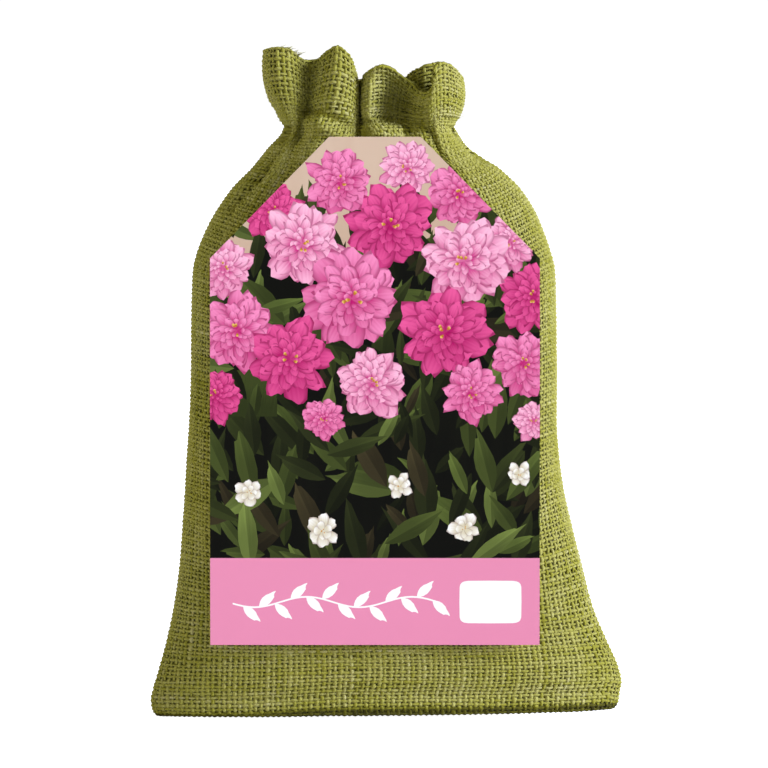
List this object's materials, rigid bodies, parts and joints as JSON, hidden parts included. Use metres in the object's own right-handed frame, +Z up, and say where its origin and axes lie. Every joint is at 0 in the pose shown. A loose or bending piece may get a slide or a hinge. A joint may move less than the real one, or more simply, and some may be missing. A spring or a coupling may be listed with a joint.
{
  "type": "jute plant sack with card label",
  "caption": "Stuffed jute sack drawn closed at the neck into a ruffle, standing on its flat base, with a card label on its front.",
  "frame": {"origin": "middle of the base, on the surface that the sack stands on", "axes": "+Z up, towards the ruffle; the card label faces -Y; +X to the right as seen from the card's side"},
  "size_m": [0.1963, 0.0807, 0.283],
  "materials": {
    "jute": "plain-woven jute hessian, dyed green, coarse and hairy",
    "cord": "twisted natural jute cord",
    "peat": "crumbly peat and wood fibre",
    "root": "brown root bark with pink buds",
    "card": "printed board with a satin coat",
    "glue": "hot-melt glue"
  },
  "bodies": {
    "root": {"jute_sack": "jute", "neck_tie": "cord", "packing": "peat", "peony_root": "root", "card_label": "card", "glue_dot_lower": "glue", "glue_dot_upper": "glue"}
  },
  "joints": []
}
